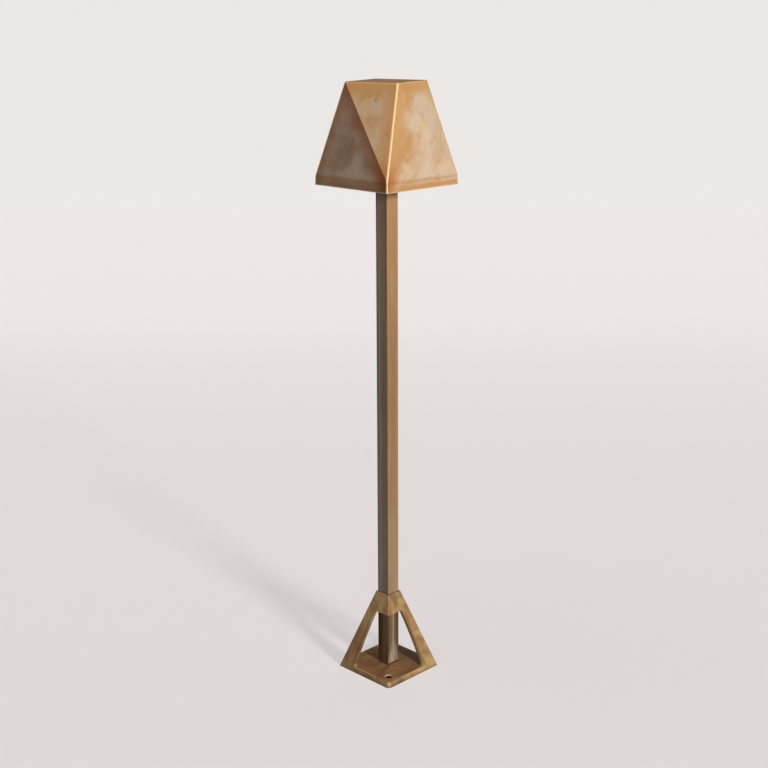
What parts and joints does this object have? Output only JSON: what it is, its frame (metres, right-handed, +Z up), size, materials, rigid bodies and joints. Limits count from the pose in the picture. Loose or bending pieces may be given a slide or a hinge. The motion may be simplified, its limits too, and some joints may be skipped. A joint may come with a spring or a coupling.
{
  "type": "garden post light",
  "caption": "Low-voltage garden light: square post on an open pyramid foot, with a faceted hood whose square top is turned against its square bottom over a small lamp.",
  "frame": {"origin": "centre of the foot plate's underside, on the post's axis", "axes": "+Z up along the post; a corner of the plate and of the hood's hem points along -Y, the front, and the two struts stand along -X and +X"},
  "size_m": [0.1682, 0.1682, 0.743],
  "materials": {
    "cast_brass": "aged cast brass, satin, mottled brown patina",
    "tube_brass": "aged drawn brass, satin",
    "hood_brass": "aged brass with pale and brown patina patches",
    "turned_brass": "plain turned brass",
    "zinc_steel": "zinc plated",
    "black_rubber": "matte",
    "silicone": "satin",
    "nylon": "natural",
    "ceramic": "unglazed white",
    "lead_insulation": "silicone lead insulation",
    "connector_plastic": "moulded",
    "lamp_glass": "clear",
    "dome_glass": "frosted"
  },
  "bodies": {
    "post": {"base_casting": "cast_brass", "collar_grub_screws": "zinc_steel", "post_tube": "tube_brass", "foot_plug": "turned_brass", "foot_gasket": "black_rubber", "foot_nipple": "zinc_steel", "foot_washer": "zinc_steel", "foot_lock_nut": "zinc_steel", "head_plug": "turned_brass", "head_nipple": "zinc_steel", "head_lock_nut": "zinc_steel", "lamp_cup": "turned_brass", "lamp_holder": "ceramic", "holder_screws": "zinc_steel", "contact_sleeves": "turned_brass", "dome_seal": "silicone", "lead_wires": "lead_insulation", "splice_connectors": "connector_plastic"},
    "washer": {"slip_washer": "nylon"},
    "hood": {"shade_shell": "hood_brass", "shade_spider": "turned_brass", "spider_screws": "zinc_steel"},
    "thumb": {"thumb_screw": "turned_brass"},
    "dome": {"glass_dome": "dome_glass"},
    "lamp": {"lamp_capsule": "lamp_glass", "lamp_pins": "zinc_steel"}
  },
  "joints": [
    {"name": "shade_turn", "type": "hinge", "parent": "post", "child": "washer", "pos_m": [0, 0, 0.667], "axis": [0, 0, 1], "continuous": true},
    {"name": "shade_lift", "type": "slide", "parent": "washer", "child": "hood", "axis": [0, 0, 1], "range_m": [0, 0.12]},
    {"name": "thumb_screw_turn", "type": "hinge", "parent": "hood", "child": "thumb", "pos_m": [0, 0.025, 0.673], "axis": [0, 1, 0], "range_deg": [0, 720]},
    {"name": "glass_lift", "type": "slide", "parent": "post", "child": "dome", "axis": [0, 0, 1], "range_m": [0, 0.008]},
    {"name": "lamp_pull", "type": "slide", "parent": "post", "child": "lamp", "axis": [0, 0, 1], "range_m": [0, 0.0075]}
  ]
}
